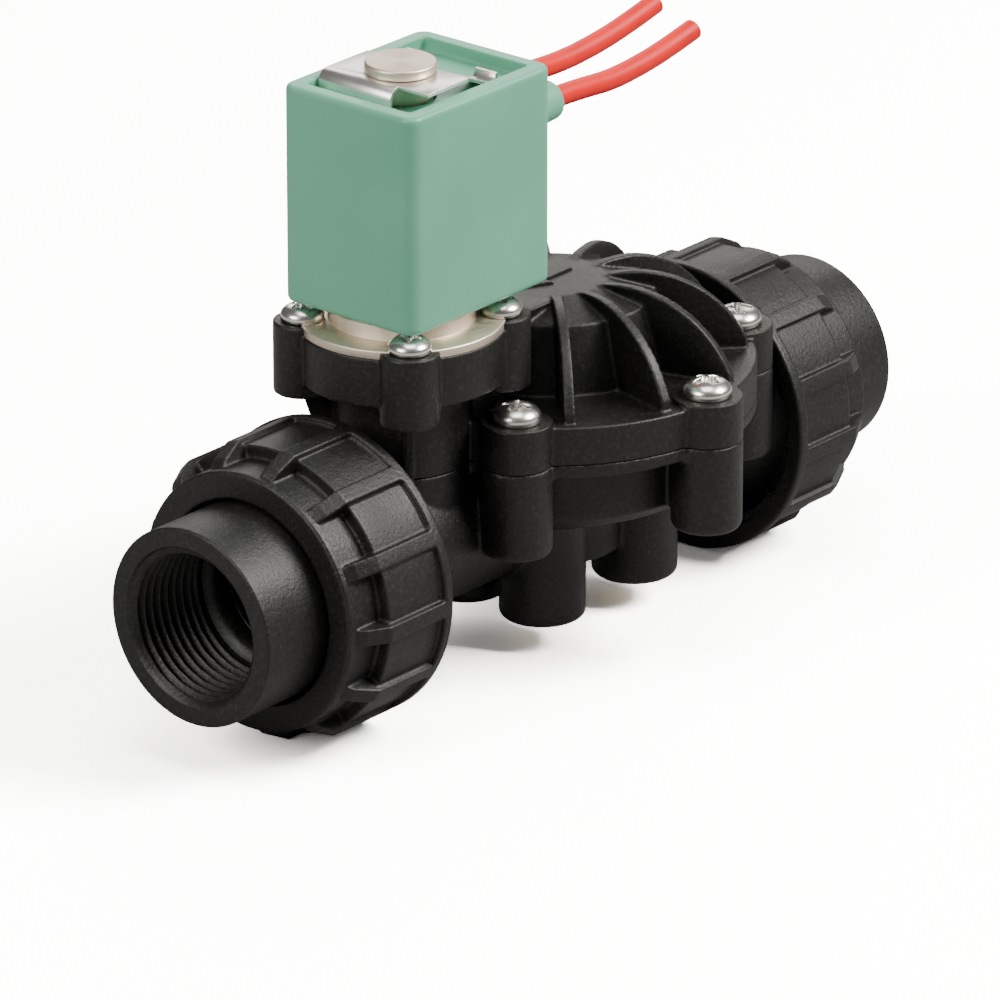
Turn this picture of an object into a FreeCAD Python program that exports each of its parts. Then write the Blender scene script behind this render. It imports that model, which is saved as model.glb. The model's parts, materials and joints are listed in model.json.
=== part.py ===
import FreeCAD, Part
import math
import os

from FreeCAD import Vector

# Pilot-operated diaphragm solenoid valve with a union and a threaded tailpiece at each end.
# Sub-parts are drawn about the flow axis, millimetres, X along the flow, Z up, with x = 0
# midway between the two pipe ends.  save() shifts them so that the origin is the centre
# of the four mounting feet, on the plane of their inserts.

# ---- driving dimensions: flow line -----------------------------------------------------
TUBE_RADIUS = 13.2
TUBE_BORE = 10.0
FIT = 0.05                    # radial clearance of a located fit
GAP = 0.3                     # clearance between pieces that move past each other

# ---- unions ----------------------------------------------------------------------------
NUT_LENGTH = 21.6
NUT_RADIUS = 25.2             # rear lip and grip ribs
NUT_BAND_RADIUS = 24.2
NUT_FRONT_RADIUS = 21.9
NUT_HOLE_RADIUS = 17.3
NUT_FRONT_WALL = 3.1
NUT_BAND_LENGTH = 12.6
NUT_LIP = 2.0
NUT_RIBS = 13
NUT_RIB_WIDTH = 2.8
NUT_RIB_SETBACK = 1.5         # from the nut's front face to the nose of a rib
NUT_RIB_SLOPE = 4.8           # length over which a rib runs down to the front band
NUT_TO_BONNET = 1.0
NUT_RIB_PHASE = {"outlet": 25.8, "inlet": 21.8}
NECK_RADIUS = 20.3
NECK_THREAD_LENGTH = 9.0
TAIL_OUTSIDE_NUT = 13.6
TAIL_PLAY = 0.63              # radial play of the tailpiece in the nut's hole
TAIL_FLANGE = 3.5
TAIL_FLANGE_PLAY = 0.9
TAIL_RIM = 0.5
PORT_RADIUS = 12.0            # 3/4 pipe thread, at the crest of the thread
PORT_THREAD_LENGTH = 16.5
PORT_CHAMFER = 1.4
PORT_RUNOUT = 1.5
SEAL_INNER = 13.4
SEAL_OUTER = 17.0
SEAL_THICKNESS = 2.5
SEAL_PROUD = 0.5

# ---- bonnet and bowl -------------------------------------------------------------------
BONNET_X = 9.8
SPLIT_Z = 13.5
FLANGE_RADIUS = 34.0
FLANGE_THICKNESS = 6.6
BODY_FLANGE = 2.3
BOLT_INSET = 1.0              # screw circle inside the flange's edge
BONNET_SCREWS = 6
BOSS_RADIUS = 5.9
BOSS_TOP_Z = 21.0
BOSS_BOTTOM_Z = -2.0
BOSS_ROUND = 1.2
DRUM_RADIUS = 20.3
DRUM_TOP_RADIUS = 17.0
DRUM_TOP_Z = 31.2
CROWN_Z = 33.5
CROWN_RADIUS = 9.0
RIB_COUNT = 12
RIB_WIDTH = 1.8
RIB_INSET = 1.6               # end of a rib inside the flange's edge
RIB_END_HEIGHT = 1.6
RIB_CREST_RADIUS = 24.8
RIB_CREST_Z = 30.6
BRIDGE_HALF_WIDTH = 7.3
BRIDGE_THICKNESS = 6.5
BOWL_INSET = 6.0              # bowl inside the flange's edge
BOWL_FLOOR_Z = 3.0
BOWL_CROWN = 3.5              # depth of the bowl's shallow conical bottom
CASTING_WALL = 3.0
SEAT_BORE = 9.5
SEAT_WALL = 2.5
SEAT_Z = 9.5
OUTLET_BORE = 8.0
OUTLET_DROP = 2.5
CHAMBER_RADIUS = 15.5
CHAMBER_ROOF_Z = 28.0
CHAMBER_FLARE = 5.0
FLARE_MARGIN = 0.44           # room past the inner edge of the clamped rubber

# ---- feet ------------------------------------------------------------------------------
FOOT_SPACING_X = 24.0
FOOT_SPACING_Y = 16.4
FOOT_RADIUS = 7.2
FOOT_Z = -20.4
FOOT_ROUND = 0.8
FOOT_WEB_MARGIN = 2.0
FOOT_WEB_RISE = 8.0
FOOT_INSERT_RADIUS = 3.9
FOOT_INSERT_BORE = 2.1
FOOT_INSERT_LENGTH = 9.0
FOOT_INSERT_PROUD = 0.9

# ---- diaphragm -------------------------------------------------------------------------
DIAPHRAGM_INSET = 5.0         # diaphragm inside the flange's edge
DIAPHRAGM_STEP = 0.6          # thicker rubber under the support
DIAPHRAGM_BEAD = 2.6
RUBBER = 1.4
DISC_RADIUS = 13.0
CLAMP_WIDTH = 6.5
BEAD_HALF = 1.0               # half the height of the rim bead
SUPPORT_THICKNESS = 1.6
SUPPORT_HUB = 4.6
PUSH_NUT_RADIUS = 4.6
PUSH_NUT_THICKNESS = 0.6
STUD_RADIUS = 2.5
MAIN_SPRING_RADIUS = 7.5
MAIN_SPRING_WIRE = 1.1
MAIN_SPRING_TURNS = 4.5

# ---- solenoid tower --------------------------------------------------------------------
TOWER_X = -27.9
TOWER_RADIUS = 17.0
TOWER_SKIRT_Z = 28.0
TOWER_NECK_RADIUS = 11.0
TOWER_SCREW_OFFSET = 11.32
TOWER_BOSS_RADIUS = 4.85
TOWER_BOSS_BOTTOM_Z = 25.5
PLATE_TOP_Z = 37.86
PLATE_THICKNESS = 1.4
PLATE_RADIUS = 16.8
HUB_RADIUS = 12.0
HUB_HEIGHT = 2.7
PILOT_CHAMBER_RADIUS = 9.0
PILOT_CHAMBER_FLOOR_Z = 30.5
PILOT_SEAT_Z = 34.5
PILOT_ORIFICE = 1.0
PILOT_PASSAGE = 1.2
PILOT_DRAIN = 1.5
PILOT_POST_RADIUS = 3.6
PILOT_INSERT_RADIUS = 2.4
PILOT_INSERT_LENGTH = 5.0
GASKET_RADIUS = 11.2
GASKET_SECTION = 0.75
GASKET_GROOVE_HALF = 1.2

# ---- solenoid --------------------------------------------------------------------------
CORE_TUBE_RADIUS = 5.3
CORE_TUBE_WALL = 0.5
CORE_RADIUS = 4.65
CORE_LENGTH = 24.0
CORE_TRAVEL = 1.6
CORE_SPRING_POCKET = 8.0
CORE_SPRING_RADIUS = 1.8
CORE_SPRING_WIRE = 0.5
CORE_SPRING_TURNS = 7
POLE_POCKET_RADIUS = 2.2
POLE_POCKET_DEPTH = 5.0
SHADING_INNER = 2.6
SHADING_OUTER = 3.5
SHADING_DEPTH = 1.0
SEAL_PIN_RADIUS = 2.3
SEAL_PIN_DEPTH = 2.2
SEAL_PIN_PROUD = 1.6
POST_HEAD_RADIUS = 5.85
POST_ABOVE_COIL = 3.44
POST_HEAD = 1.8
POST_GROOVE_RADIUS = 4.2
POST_NECK = 3.0               # from the top of the tube to the underside of the head
CLIP_SHEET = 0.6
CLIP_LIP_X = -5.7             # bend of the lip, from the post
CLIP_LIP_RADIUS = 2.2
CLIP_LIP_DROP = 3.2
CLIP_NOTCH_Y = -4.5           # the lip stops here; the sheet's corner carries on
CLIP_KNEE_X = 4.2
CLIP_TOE_X = 12.0
CLIP_EAR_X = 13.8
CLIP_EAR_HEIGHT = 1.9
CLIP_LEFT_LEG = (5.6, 10.4)
CLIP_RIGHT_LEG = (-8.6, -4.3)
COIL_X = -23.87
COIL_HALF_X = 17.57
COIL_HALF_Y = 13.89
COIL_BOTTOM_Z = 40.94
COIL_TOP_Z = 77.86
COIL_CORNER = 2.5
COIL_EDGE = 0.9
RECESS_CORNER = 0.8
COIL_RIM = 3.0
COIL_RECESS = 2.4
BOBBIN_WALL = 1.0
BOBBIN_FLANGE_RADIUS = 11.8
WINDING_RADIUS = 11.2
YOKE_SHEET = 2.0
YOKE_HALF_WIDTH = 10.0
YOKE_COVER = 2.0              # moulding over the yoke's top and bottom plates
BOBBIN_FLANGE = 1.2
LEAD_RADIUS = 1.8
LEAD_ROOT_DEPTH = 4.5         # how far a lead runs into the moulding
LEAD_Z = 67.6
LEAD_Y = 5.7
LEAD_BOSS_RADIUS = 3.9
LEAD_BOSS_TIP_RADIUS = 3.3
LEAD_BOSS_LENGTH = 8.8

# ---- fasteners -------------------------------------------------------------------------
BONNET_SCREW = {"head": 4.0, "height": 2.9, "shank": 2.0, "length": 19.0}
TOWER_SCREW = {"head": 3.58, "height": 2.5, "shank": 1.5, "length": 9.5}
BONNET_INSERT_RADIUS = 3.2
BONNET_INSERT_LENGTH = 10.0
SCREW_CLEARANCE = 0.2

# ---- worked out from the driving dimensions --------------------------------------------
NUT_REAR_X = BONNET_X + FLANGE_RADIUS + NUT_TO_BONNET
NUT_FRONT_X = NUT_REAR_X + NUT_LENGTH
HALF = NUT_FRONT_X + TAIL_OUTSIDE_NUT
TAIL_RADIUS = NUT_HOLE_RADIUS - TAIL_PLAY
TAIL_INNER_X = NUT_FRONT_X - NUT_FRONT_WALL - GAP / 2 - TAIL_FLANGE
NECK_FACE_X = TAIL_INNER_X - SEAL_PROUD
NECK_REAR_X = NECK_FACE_X - NECK_THREAD_LENGTH
NUT_BORE = NECK_RADIUS + GAP
TAIL_FLANGE_RADIUS = NUT_BORE - TAIL_FLANGE_PLAY
BOLT_CIRCLE = FLANGE_RADIUS - BOLT_INSET
RIB_REACH = FLANGE_RADIUS - RIB_INSET
BOWL_RADIUS = FLANGE_RADIUS - BOWL_INSET
DIAPHRAGM_RADIUS = FLANGE_RADIUS - DIAPHRAGM_INSET
BEAD_INNER = DIAPHRAGM_RADIUS - DIAPHRAGM_BEAD
CLAMP_INNER = DIAPHRAGM_RADIUS - CLAMP_WIDTH
SUPPORT_BASE_Z = SEAT_Z + RUBBER + DIAPHRAGM_STEP + 2 * FIT
SPRING_SEAT_Z = SUPPORT_BASE_Z + SUPPORT_THICKNESS
FLANGE_TOP_Z = SPLIT_Z + FLANGE_THICKNESS
PLATE_BOTTOM_Z = PLATE_TOP_Z - PLATE_THICKNESS
HUB_TOP_Z = PLATE_TOP_Z + HUB_HEIGHT
CORE_TUBE_BORE = CORE_TUBE_RADIUS - CORE_TUBE_WALL
COIL_BORE = CORE_TUBE_RADIUS + GAP
RECESS_Z = COIL_TOP_Z - COIL_RECESS
POST_TOP_Z = COIL_TOP_Z + POST_ABOVE_COIL
POST_HEAD_Z = POST_TOP_Z - POST_HEAD
TUBE_TOP_Z = POST_HEAD_Z - POST_NECK
CLIP_Z = POST_HEAD_Z - CLIP_SHEET - FIT
CORE_BOTTOM_Z = PILOT_SEAT_Z + SEAL_PIN_PROUD
CORE_TOP_Z = CORE_BOTTOM_Z + CORE_LENGTH
FIXED_CORE_Z = CORE_TOP_Z + CORE_TRAVEL + 2 * FIT
FOOT_PLANE_Z = FOOT_Z - FOOT_INSERT_PROUD
ORIGIN_SHIFT = Vector(-BONNET_X, 0, -FOOT_PLANE_Z)
UP = Vector(0, 0, 1)
ALONG = Vector(1, 0, 0)


# ---- small helpers ---------------------------------------------------------------------
def tube_z(x, y, low, high, radius):
    """An upright cylinder from z = low to z = high."""
    return Part.makeCylinder(radius, high - low, Vector(x, y, low))


def tube_x(low, high, radius, z=0.0):
    """A cylinder along the flow axis from x = low to x = high."""
    return Part.makeCylinder(radius, high - low, Vector(low, 0, z), ALONG)


def block(x0, x1, y0, y1, z0, z1):
    return Part.makeBox(x1 - x0, y1 - y0, z1 - z0, Vector(x0, y0, z0))


def cone_z(x, y, low, high, low_radius, high_radius):
    return Part.makeCone(low_radius, high_radius, high - low, Vector(x, y, low))


def revolve_z(x, y, outline):
    """Turns an outline of (radius, z) points about the upright axis through (x, y)."""
    points = [Vector(x + radius, y, z) for radius, z in outline]
    face = Part.Face(Part.makePolygon(points + points[:1]))
    return face.revolve(Vector(x, y, 0), UP, 360)


def revolve_x(outline):
    """Turns an outline of (x, radius) points about the flow axis."""
    points = [Vector(x, 0, radius) for x, radius in outline]
    face = Part.Face(Part.makePolygon(points + points[:1]))
    return face.revolve(Vector(0, 0, 0), ALONG, 360)


def prism_y(outline, low, high):
    """An (x, z) outline made into a plate from y = low to y = high."""
    points = [Vector(x, low, z) for x, z in outline]
    face = Part.Face(Part.makePolygon(points + points[:1]))
    return face.extrude(Vector(0, high - low, 0))


def turned(shape, degrees, x=0.0, y=0.0):
    copy = shape.copy()
    copy.rotate(Vector(x, y, 0), UP, degrees)
    return copy


def fused(shapes):
    result = shapes[0].multiFuse(shapes[1:])
    return result.removeSplitter()


def cut(shape, tools):
    tool = tools[0] if len(tools) == 1 else tools[0].multiFuse(tools[1:])
    return shape.cut(tool).removeSplitter()


def end_for_outlet(shape):
    """The outlet end is the inlet end turned half a turn about the upright axis."""
    return turned(shape, 180)


def save(node, shapes):
    """Writes one node; a node of several loose pieces is written as a compound."""
    solids = [solid for shape in shapes for solid in shape.Solids]
    result = solids[0] if len(solids) == 1 else Part.makeCompound(solids)
    result = result.copy()
    result.translate(ORIGIN_SHIFT)
    if not result.isValid():
        raise ValueError("node " + node + " is not a valid shape")
    result.exportStep("parts/" + node + ".step")


def bolt_points():
    step = 360 / BONNET_SCREWS
    for index in range(BONNET_SCREWS):
        angle = math.radians(step / 2 + index * step)
        yield BONNET_X + BOLT_CIRCLE * math.cos(angle), BOLT_CIRCLE * math.sin(angle)


def tower_points():
    for side_x in (-1, 1):
        for side_y in (-1, 1):
            yield TOWER_X + side_x * TOWER_SCREW_OFFSET, side_y * TOWER_SCREW_OFFSET


def foot_points():
    for side_x in (-1, 1):
        for side_y in (-1, 1):
            yield BONNET_X + side_x * FOOT_SPACING_X / 2, side_y * FOOT_SPACING_Y / 2


# ---- unions ----------------------------------------------------------------------------
def union_nut(phase):
    """Cup-shaped nut: rear lip, wide band, narrower front band and grip ribs."""
    step_x = NUT_REAR_X + NUT_LIP + NUT_BAND_LENGTH
    back = NUT_FRONT_X - NUT_FRONT_WALL
    outside = [(NUT_REAR_X, NUT_BORE + 1.6), (NUT_REAR_X, NUT_RADIUS - 0.3),
               (NUT_REAR_X + 0.3, NUT_RADIUS), (NUT_REAR_X + NUT_LIP, NUT_RADIUS),
               (NUT_REAR_X + NUT_LIP, NUT_BAND_RADIUS), (step_x, NUT_BAND_RADIUS),
               (step_x, NUT_FRONT_RADIUS), (NUT_FRONT_X - 0.4, NUT_FRONT_RADIUS),
               (NUT_FRONT_X, NUT_FRONT_RADIUS - 0.4)]
    inside = [(NUT_FRONT_X, NUT_HOLE_RADIUS), (back, NUT_HOLE_RADIUS),
              (back, NUT_BORE), (NUT_REAR_X + 2.4, NUT_BORE), (NUT_REAR_X + 1.6, NUT_BORE + 1.6)]
    shell = revolve_x(outside + inside)
    rib_inner = NUT_FRONT_RADIUS - 0.8
    nose_x = NUT_FRONT_X - NUT_RIB_SETBACK
    rib = prism_y([(NUT_REAR_X + 0.5, rib_inner), (nose_x, rib_inner),
                   (nose_x, NUT_FRONT_RADIUS + 0.4), (nose_x - 1.0, NUT_FRONT_RADIUS + 1.4),
                   (nose_x - NUT_RIB_SLOPE, NUT_RADIUS), (NUT_REAR_X + 0.5, NUT_RADIUS)],
                  -NUT_RIB_WIDTH / 2, NUT_RIB_WIDTH / 2)
    ring = revolve_x([(NUT_REAR_X, rib_inner - 0.1), (NUT_REAR_X, NUT_RADIUS),
                      (NUT_FRONT_X, NUT_RADIUS), (NUT_FRONT_X, rib_inner - 0.1)])
    ribs = []
    for index in range(NUT_RIBS):
        copy = rib.common(ring)
        copy.rotate(Vector(0, 0, 0), ALONG, phase - 90 + index * 360 / NUT_RIBS)
        ribs.append(copy)
    return fused([shell] + ribs)


def tailpiece():
    """Pipe end: a flange held by the nut, and a bore for the pipe thread."""
    thread_end = HALF - PORT_THREAD_LENGTH
    rim = min(TAIL_RIM, (TAIL_RADIUS - PORT_RADIUS - PORT_CHAMFER) / 2)
    outline = [(TAIL_INNER_X, TUBE_BORE), (TAIL_INNER_X, TAIL_FLANGE_RADIUS),
               (TAIL_INNER_X + TAIL_FLANGE, TAIL_FLANGE_RADIUS),
               (TAIL_INNER_X + TAIL_FLANGE, TAIL_RADIUS), (HALF - rim, TAIL_RADIUS),
               (HALF, TAIL_RADIUS - rim), (HALF, PORT_RADIUS + PORT_CHAMFER),
               (HALF - PORT_CHAMFER, PORT_RADIUS), (thread_end, PORT_RADIUS),
               (thread_end - PORT_RUNOUT, TUBE_BORE)]
    return revolve_x(outline)


def union_seal():
    start = NECK_FACE_X + SEAL_PROUD - SEAL_THICKNESS
    return revolve_x([(start, SEAL_INNER + FIT), (start, SEAL_OUTER - FIT),
                      (NECK_FACE_X + SEAL_PROUD - FIT, SEAL_OUTER - FIT),
                      (NECK_FACE_X + SEAL_PROUD - FIT, SEAL_INNER + FIT)])


def neck():
    """Union neck of the body, drawn for the inlet end, with its seal groove."""
    outside = revolve_x([(0, 0), (0, TUBE_RADIUS), (NECK_REAR_X - 6.0, TUBE_RADIUS),
                         (NECK_REAR_X, NECK_RADIUS - 1.4), (NECK_REAR_X + 0.6, NECK_RADIUS),
                         (NECK_FACE_X - 0.8, NECK_RADIUS), (NECK_FACE_X, NECK_RADIUS - 0.8),
                         (NECK_FACE_X, 0)])
    groove = revolve_x([(NECK_FACE_X + SEAL_PROUD - SEAL_THICKNESS, SEAL_INNER),
                        (NECK_FACE_X + SEAL_PROUD - SEAL_THICKNESS, SEAL_OUTER),
                        (NECK_FACE_X + 1, SEAL_OUTER), (NECK_FACE_X + 1, SEAL_INNER)])
    return outside.cut(groove)


# ---- body ------------------------------------------------------------------------------
def screw_boss(x, y):
    """Lower half of a bonnet screw boss, with a rounded bottom edge."""
    bevel = 0.3 * BOSS_ROUND
    return revolve_z(x, y, [(0, BOSS_BOTTOM_Z), (BOSS_RADIUS - BOSS_ROUND, BOSS_BOTTOM_Z),
                            (BOSS_RADIUS - bevel, BOSS_BOTTOM_Z + bevel),
                            (BOSS_RADIUS, BOSS_BOTTOM_Z + BOSS_ROUND), (BOSS_RADIUS, SPLIT_Z),
                            (0, SPLIT_Z)])


def foot(x, y):
    top = BOWL_FLOOR_Z - 1
    return revolve_z(x, y, [(0, FOOT_Z), (FOOT_RADIUS - FOOT_ROUND, FOOT_Z),
                            (FOOT_RADIUS, FOOT_Z + FOOT_ROUND), (FOOT_RADIUS, top), (0, top)])


def body_outside():
    bowl_bottom = BOWL_FLOOR_Z - CASTING_WALL
    crown_z = bowl_bottom - BOWL_CROWN
    bowl = revolve_z(BONNET_X, 0, [(0, crown_z), (BOWL_RADIUS - 9, crown_z),
                                   (BOWL_RADIUS - 2, bowl_bottom - 0.5),
                                   (BOWL_RADIUS, bowl_bottom + 1.5),
                                   (BOWL_RADIUS, SPLIT_Z - BODY_FLANGE),
                                   (FLANGE_RADIUS, SPLIT_Z - BODY_FLANGE),
                                   (FLANGE_RADIUS, SPLIT_Z), (0, SPLIT_Z)])
    pad = tube_z(TOWER_X, 0, 0, SPLIT_Z, TOWER_NECK_RADIUS)
    web_reach = FOOT_SPACING_X / 2
    web_half = FOOT_SPACING_Y / 2 + FOOT_WEB_MARGIN
    foot_web = block(BONNET_X - web_reach, BONNET_X + web_reach, -web_half, web_half,
                     FOOT_Z + FOOT_WEB_RISE, bowl_bottom)
    seat_sump = tube_z(BONNET_X, 0, -OUTLET_DROP - OUTLET_BORE - SEAT_WALL, 0,
                       SEAT_BORE + SEAT_WALL)
    sides = [neck(), end_for_outlet(neck()), bowl, pad, foot_web, seat_sump]
    bosses = [screw_boss(x, y) for x, y in bolt_points()]
    feet = [foot(x, y) for x, y in foot_points()]
    return fused(sides + bosses + feet)


def annular_chamber():
    """Inlet chamber round the seat, less the seat tube and the outlet tunnel."""
    chamber = tube_z(BONNET_X, 0, BOWL_FLOOR_Z, SPLIT_Z + 1, BOWL_RADIUS - CASTING_WALL)
    seat = tube_z(BONNET_X, 0, BOWL_FLOOR_Z - 1, SEAT_Z, SEAT_BORE + SEAT_WALL)
    tunnel = tube_x(BONNET_X - BOWL_RADIUS, BONNET_X, OUTLET_BORE + SEAT_WALL, -OUTLET_DROP)
    return chamber.cut(seat).cut(tunnel)


def diaphragm_clamp():
    """Space for the rubber between the body and the bonnet, with its rim bead."""
    inner = BEAD_INNER
    low = SPLIT_Z - BEAD_HALF
    high = SPLIT_Z + BEAD_HALF
    rubber_low = SPLIT_Z - RUBBER / 2 - FIT
    rubber_high = SPLIT_Z + RUBBER / 2 + FIT
    return revolve_z(BONNET_X, 0, [(CLAMP_INNER, rubber_low), (inner, rubber_low),
                                   (inner, low), (DIAPHRAGM_RADIUS, low),
                                   (DIAPHRAGM_RADIUS, high), (inner, high),
                                   (inner, rubber_high), (CLAMP_INNER, rubber_high)])


def valve_body():
    inlet_stop = BONNET_X + SEAT_BORE + SEAT_WALL + 1.5
    bores = [tube_x(inlet_stop, HALF, TUBE_BORE),
             tube_x(-HALF, BONNET_X - BOWL_RADIUS + 2, TUBE_BORE),
             tube_x(BONNET_X - BOWL_RADIUS, BONNET_X, OUTLET_BORE, -OUTLET_DROP),
             tube_z(BONNET_X, 0, -OUTLET_DROP, SEAT_Z + 1, SEAT_BORE),
             annular_chamber(),
             diaphragm_clamp(),
             tube_z(TOWER_X, 0, 0, SPLIT_Z + 1, PILOT_DRAIN)]
    for x, y in bolt_points():
        bores.append(tube_z(x, y, SPLIT_Z - BONNET_INSERT_LENGTH, SPLIT_Z + 1,
                            BONNET_INSERT_RADIUS))
        bores.append(tube_z(x, y, BOSS_TOP_Z - BONNET_SCREW["length"] - 1,
                            SPLIT_Z, BONNET_SCREW["shank"] + GAP))
    for x, y in foot_points():
        bores.append(tube_z(x, y, FOOT_Z - 1, FOOT_PLANE_Z + FOOT_INSERT_LENGTH,
                            FOOT_INSERT_RADIUS))
    return cut(body_outside(), bores)


def insert(x, y, low, high, outside, bore):
    """A threaded insert; its knurl and thread are plain cylinders."""
    return tube_z(x, y, low, high, outside - FIT / 2).cut(tube_z(x, y, low - 1, high + 1, bore))


# ---- bonnet ----------------------------------------------------------------------------
def bonnet_rib(degrees):
    """Radial stiffening rib with a convex top edge."""
    inner = Vector(CROWN_RADIUS - 2.5, 0, CROWN_Z - 0.4)
    start = Vector(CROWN_RADIUS - 0.5, 0, CROWN_Z + 0.1)
    crest = Vector(RIB_CREST_RADIUS, 0, RIB_CREST_Z)
    end = Vector(RIB_REACH, 0, FLANGE_TOP_Z + RIB_END_HEIGHT)
    foot_outer = Vector(RIB_REACH, 0, FLANGE_TOP_Z - 1)
    foot_inner = Vector(CROWN_RADIUS - 2.5, 0, FLANGE_TOP_Z - 1)
    edges = [Part.LineSegment(inner, start).toShape(),
             Part.Arc(start, crest, end).toShape(),
             Part.LineSegment(end, foot_outer).toShape(),
             Part.LineSegment(foot_outer, foot_inner).toShape(),
             Part.LineSegment(foot_inner, inner).toShape()]
    face = Part.Face(Part.Wire(edges))
    plate = face.extrude(Vector(0, RIB_WIDTH, 0))
    plate.translate(Vector(BONNET_X, -RIB_WIDTH / 2, 0))
    return turned(plate, degrees, BONNET_X, 0)


def bonnet_dome():
    outline = [(0, SPLIT_Z), (FLANGE_RADIUS, SPLIT_Z), (FLANGE_RADIUS, FLANGE_TOP_Z),
               (DRUM_RADIUS, FLANGE_TOP_Z), (DRUM_TOP_RADIUS, DRUM_TOP_Z),
               (CROWN_RADIUS, CROWN_Z), (0, CROWN_Z)]
    return revolve_z(BONNET_X, 0, outline)


def tower_outside():
    neck_part = tube_z(TOWER_X, 0, SPLIT_Z, TOWER_SKIRT_Z + 1, TOWER_NECK_RADIUS)
    ring = tube_z(TOWER_X, 0, TOWER_SKIRT_Z, PLATE_BOTTOM_Z, TOWER_RADIUS)
    pieces = [neck_part, ring]
    keep_out = tube_z(TOWER_X, 0, PLATE_BOTTOM_Z, PLATE_TOP_Z + 1, PLATE_RADIUS + FIT)
    for x, y in tower_points():
        boss = tube_z(x, y, TOWER_BOSS_BOTTOM_Z, PLATE_TOP_Z - 0.1, TOWER_BOSS_RADIUS)
        pieces.append(boss.cut(keep_out))
    for quarter in range(4):
        web = prism_y([(TOWER_X + 3, SPLIT_Z), (TOWER_X + TOWER_NECK_RADIUS + 1.5, SPLIT_Z),
                       (TOWER_X + 16.5, TOWER_SKIRT_Z - 2), (TOWER_X + 16.5, TOWER_SKIRT_Z + 1),
                       (TOWER_X + 3, TOWER_SKIRT_Z + 1)],
                      -RIB_WIDTH / 2, RIB_WIDTH / 2)
        pieces.append(turned(web, 45 + 90 * quarter, TOWER_X, 0))
    return pieces


def pilot_drillings():
    """Passage from the space above the diaphragm, through the bridge, to the pilot chamber."""
    level = PILOT_CHAMBER_FLOOR_Z - 1.5
    return [tube_x(TOWER_X + 4.2, BONNET_X - 3, PILOT_PASSAGE, level),
            tube_z(TOWER_X + 6, 0, level - 0.5, PILOT_CHAMBER_FLOOR_Z + 1, PILOT_PASSAGE - 0.3),
            tube_z(BONNET_X - 5, 0, CHAMBER_ROOF_Z - 1, level + 0.5, PILOT_PASSAGE - 0.3)]


def bonnet():
    """Bonnet, bridge and solenoid tower in one moulding."""
    step = 360 / RIB_COUNT
    angles = [step / 2 + step * index for index in range(RIB_COUNT)]
    ribs = [bonnet_rib(angle) for angle in angles if abs(angle - 180) > step]
    bosses = [tube_z(x, y, SPLIT_Z, BOSS_TOP_Z, BOSS_RADIUS) for x, y in bolt_points()]
    bridge = block(TOWER_X + 6, BONNET_X, -BRIDGE_HALF_WIDTH, BRIDGE_HALF_WIDTH,
                   CROWN_Z - BRIDGE_THICKNESS, CROWN_Z)
    solid = fused([bonnet_dome(), bridge] + ribs + bosses + tower_outside())
    screw_hole = BONNET_SCREW["shank"] + SCREW_CLEARANCE
    rubber_share = (1 + RUBBER / 2 + FIT) / (1 + CHAMBER_FLARE)
    flare_step = (CLAMP_INNER + FLARE_MARGIN - CHAMBER_RADIUS) / (1 - rubber_share)
    flare = CHAMBER_RADIUS + flare_step
    holes = [tube_z(BONNET_X, 0, SPLIT_Z - 1, CHAMBER_ROOF_Z, CHAMBER_RADIUS),
             cone_z(BONNET_X, 0, SPLIT_Z - 1, SPLIT_Z + CHAMBER_FLARE, flare, CHAMBER_RADIUS),
             diaphragm_clamp(),
             tube_z(TOWER_X, 0, PILOT_CHAMBER_FLOOR_Z, PLATE_TOP_Z, PILOT_CHAMBER_RADIUS)]
    holes += [tube_z(x, y, SPLIT_Z - 1, BOSS_TOP_Z + 1, screw_hole) for x, y in bolt_points()]
    holes += [tube_z(x, y, PLATE_TOP_Z - TOWER_SCREW["length"] - 1, PLATE_TOP_Z + 1,
                     TOWER_SCREW["shank"] + FIT) for x, y in tower_points()]
    holes.append(base_gasket_groove())
    holes += pilot_drillings()
    solid = cut(solid, holes)
    post_top = PILOT_SEAT_Z - 2.0
    seat_post = tube_z(TOWER_X, 0, PILOT_CHAMBER_FLOOR_Z - 1, post_top, PILOT_POST_RADIUS)
    solid = fused([solid, seat_post])
    drilling = tube_z(TOWER_X, 0, SPLIT_Z - 1, PILOT_SEAT_Z + 1, PILOT_DRAIN)
    pocket = tube_z(TOWER_X, 0, PILOT_SEAT_Z - PILOT_INSERT_LENGTH, PILOT_SEAT_Z + 1,
                    PILOT_INSERT_RADIUS)
    return cut(solid, [drilling, pocket])


def pilot_seat_insert():
    outside = PILOT_INSERT_RADIUS - FIT / 2
    low = PILOT_SEAT_Z - PILOT_INSERT_LENGTH
    outline = [(PILOT_ORIFICE, low), (outside, low), (outside, PILOT_SEAT_Z - 0.6),
               (PILOT_ORIFICE + 0.6, PILOT_SEAT_Z), (PILOT_ORIFICE, PILOT_SEAT_Z)]
    return revolve_z(TOWER_X, 0, outline)


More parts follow.
